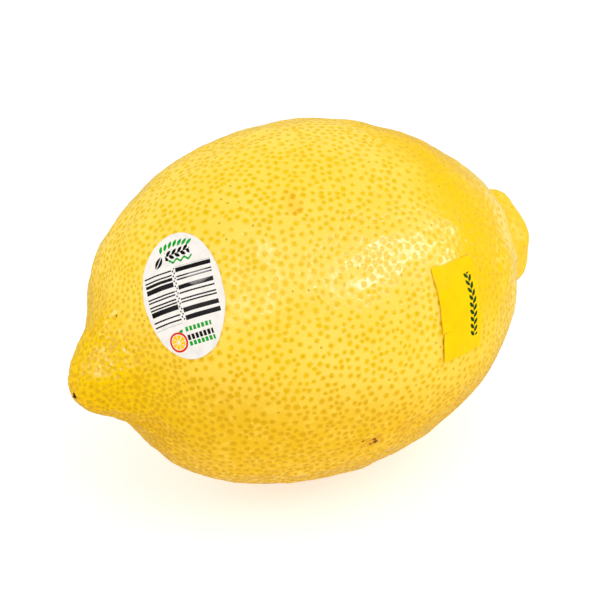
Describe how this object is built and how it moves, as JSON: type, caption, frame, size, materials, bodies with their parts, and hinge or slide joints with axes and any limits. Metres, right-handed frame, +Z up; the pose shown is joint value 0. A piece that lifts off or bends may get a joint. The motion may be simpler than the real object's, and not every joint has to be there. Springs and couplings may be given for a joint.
{
  "type": "lemon",
  "caption": "Whole ripe lemon lying on its side, with a cone-shaped nipple at one end, a short neck with a sunken stem button at the other, and two thin film labels.",
  "frame": {"origin": "middle of the small flat spot that the fruit rests on", "axes": "+X along the fruit from the nipple to the stem end, +Z up"},
  "size_m": [0.092, 0.0639, 0.0634],
  "materials": {
    "peel": "waxed citrus peel, satin, finely dimpled",
    "dried_calyx": "dry and matt",
    "white_film": "glossy thin film, printed with plain bars",
    "yellow_film": "satin thin film"
  },
  "bodies": {
    "root": {"fruit": "peel", "stem_button": "dried_calyx", "oval_label": "white_film", "side_label": "yellow_film"}
  },
  "joints": []
}
